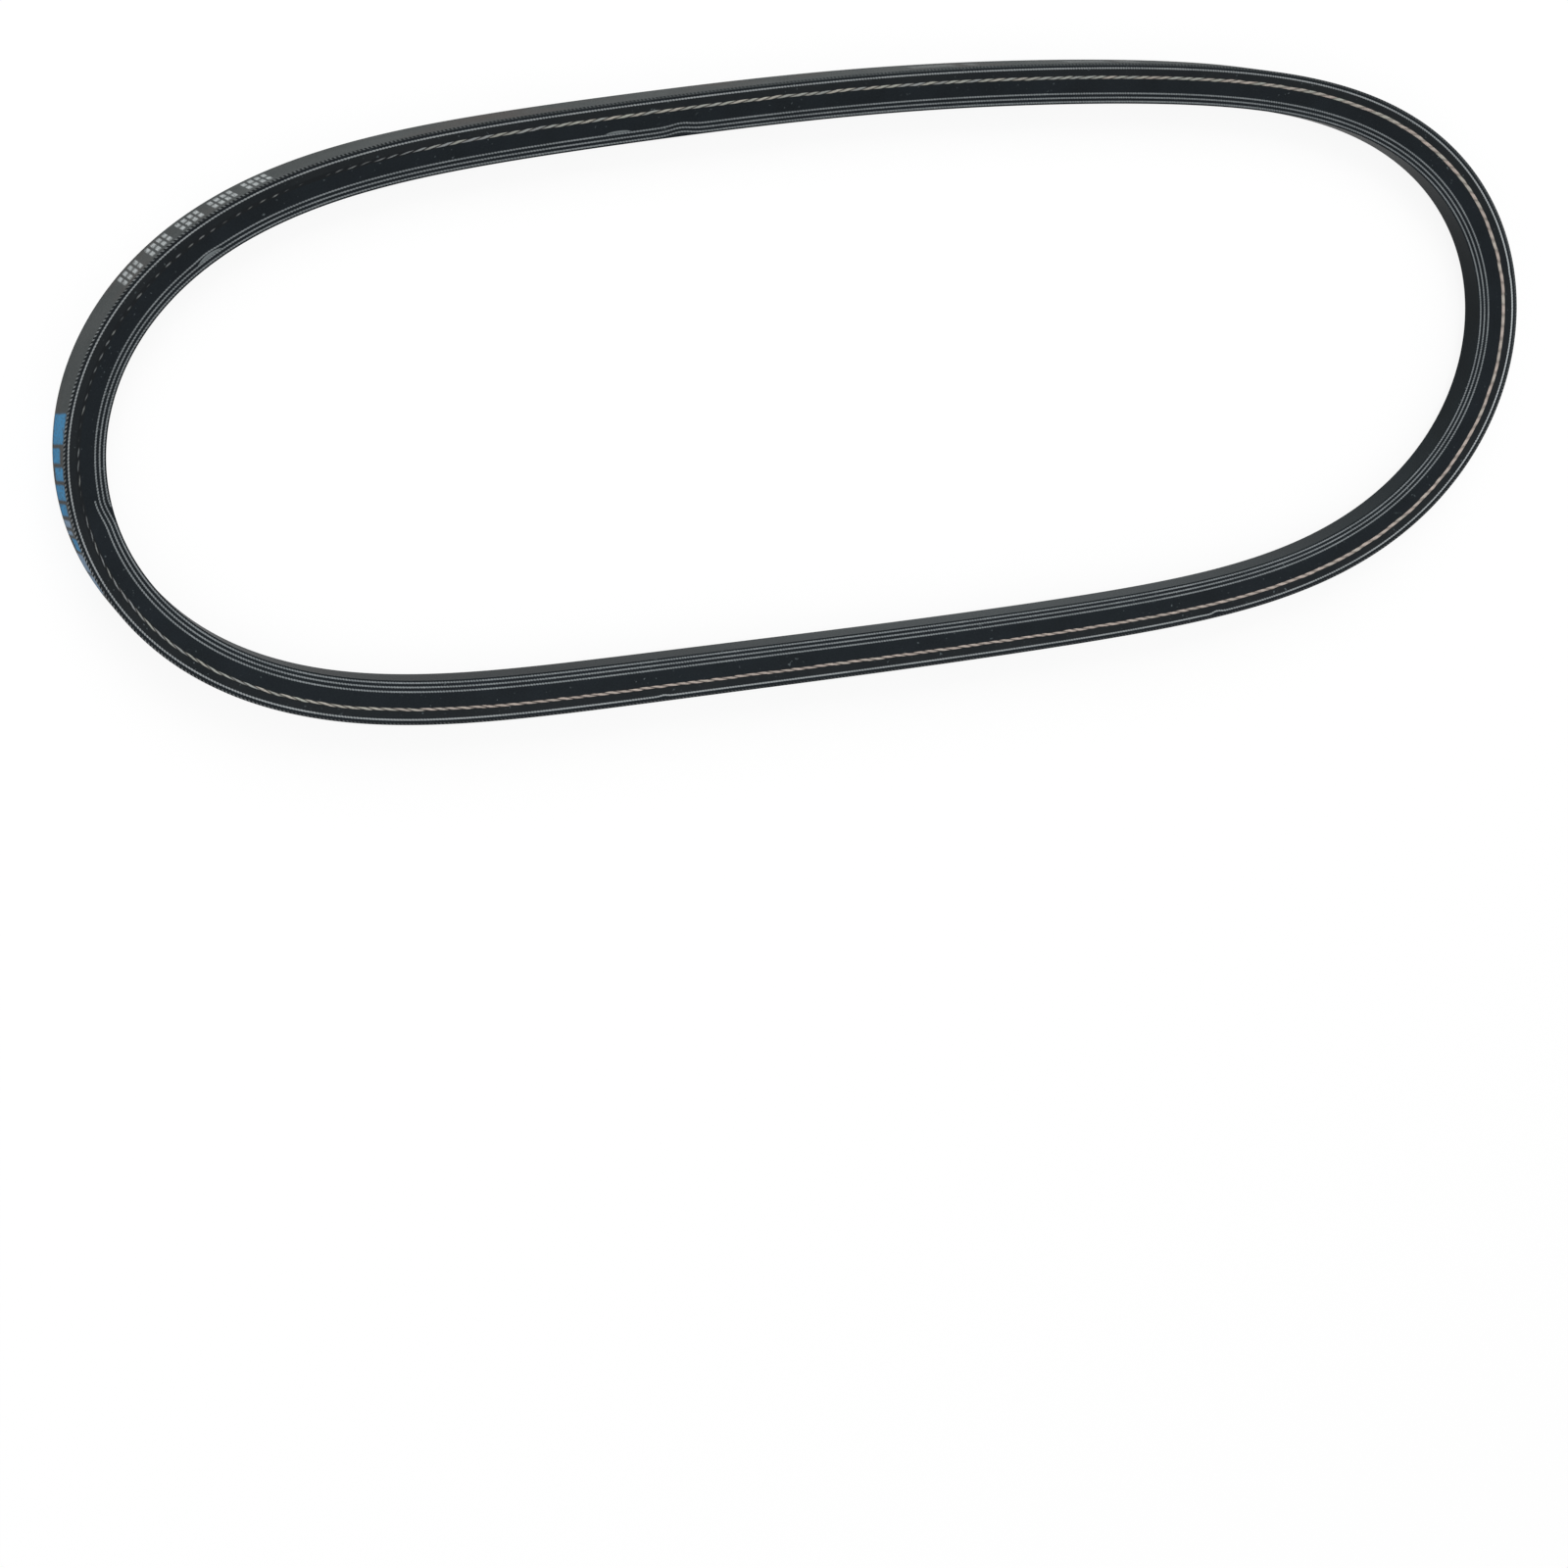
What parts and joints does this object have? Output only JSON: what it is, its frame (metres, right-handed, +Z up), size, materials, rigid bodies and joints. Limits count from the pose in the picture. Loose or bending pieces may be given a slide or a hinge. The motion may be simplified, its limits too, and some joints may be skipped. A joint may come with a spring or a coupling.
{
  "type": "raw-edge v-belt",
  "caption": "Endless raw-edge wedge belt lying on its side as a flat oval loop, with its cover plies, cord line, rubber and wound base fabric showing on the flanks.",
  "frame": {"origin": "middle of the loop's outline, on the surface that the belt's lower back corner lies on", "axes": "+X along the loop's long way, +Y across it towards the more bowed strand, +Z up, across the belt's width, out of the upper flank"},
  "size_m": [0.3954, 0.151, 0.013],
  "materials": {
    "cover_fabric": "rubber-proofed woven cover, matt dark grey",
    "cut_fabric": "cut thread ends of rubber-proofed fabric, matt light grey",
    "rubber": "cut and ground rubber, satin blue-black",
    "cord": "cut twisted polyester cord, matt beige",
    "base_skin": "moulded fabric-marked rubber, matt dark grey"
  },
  "bodies": {
    "root": {"cover_ply_outer": "cover_fabric", "cover_skim": "rubber", "cover_ply_inner": "cut_fabric", "cushion_rubber": "rubber", "tensile_cord": "cord", "compression_rubber": "rubber", "base_fabric": "cut_fabric", "base_skim": "rubber", "base_skin": "base_skin"}
  },
  "joints": []
}
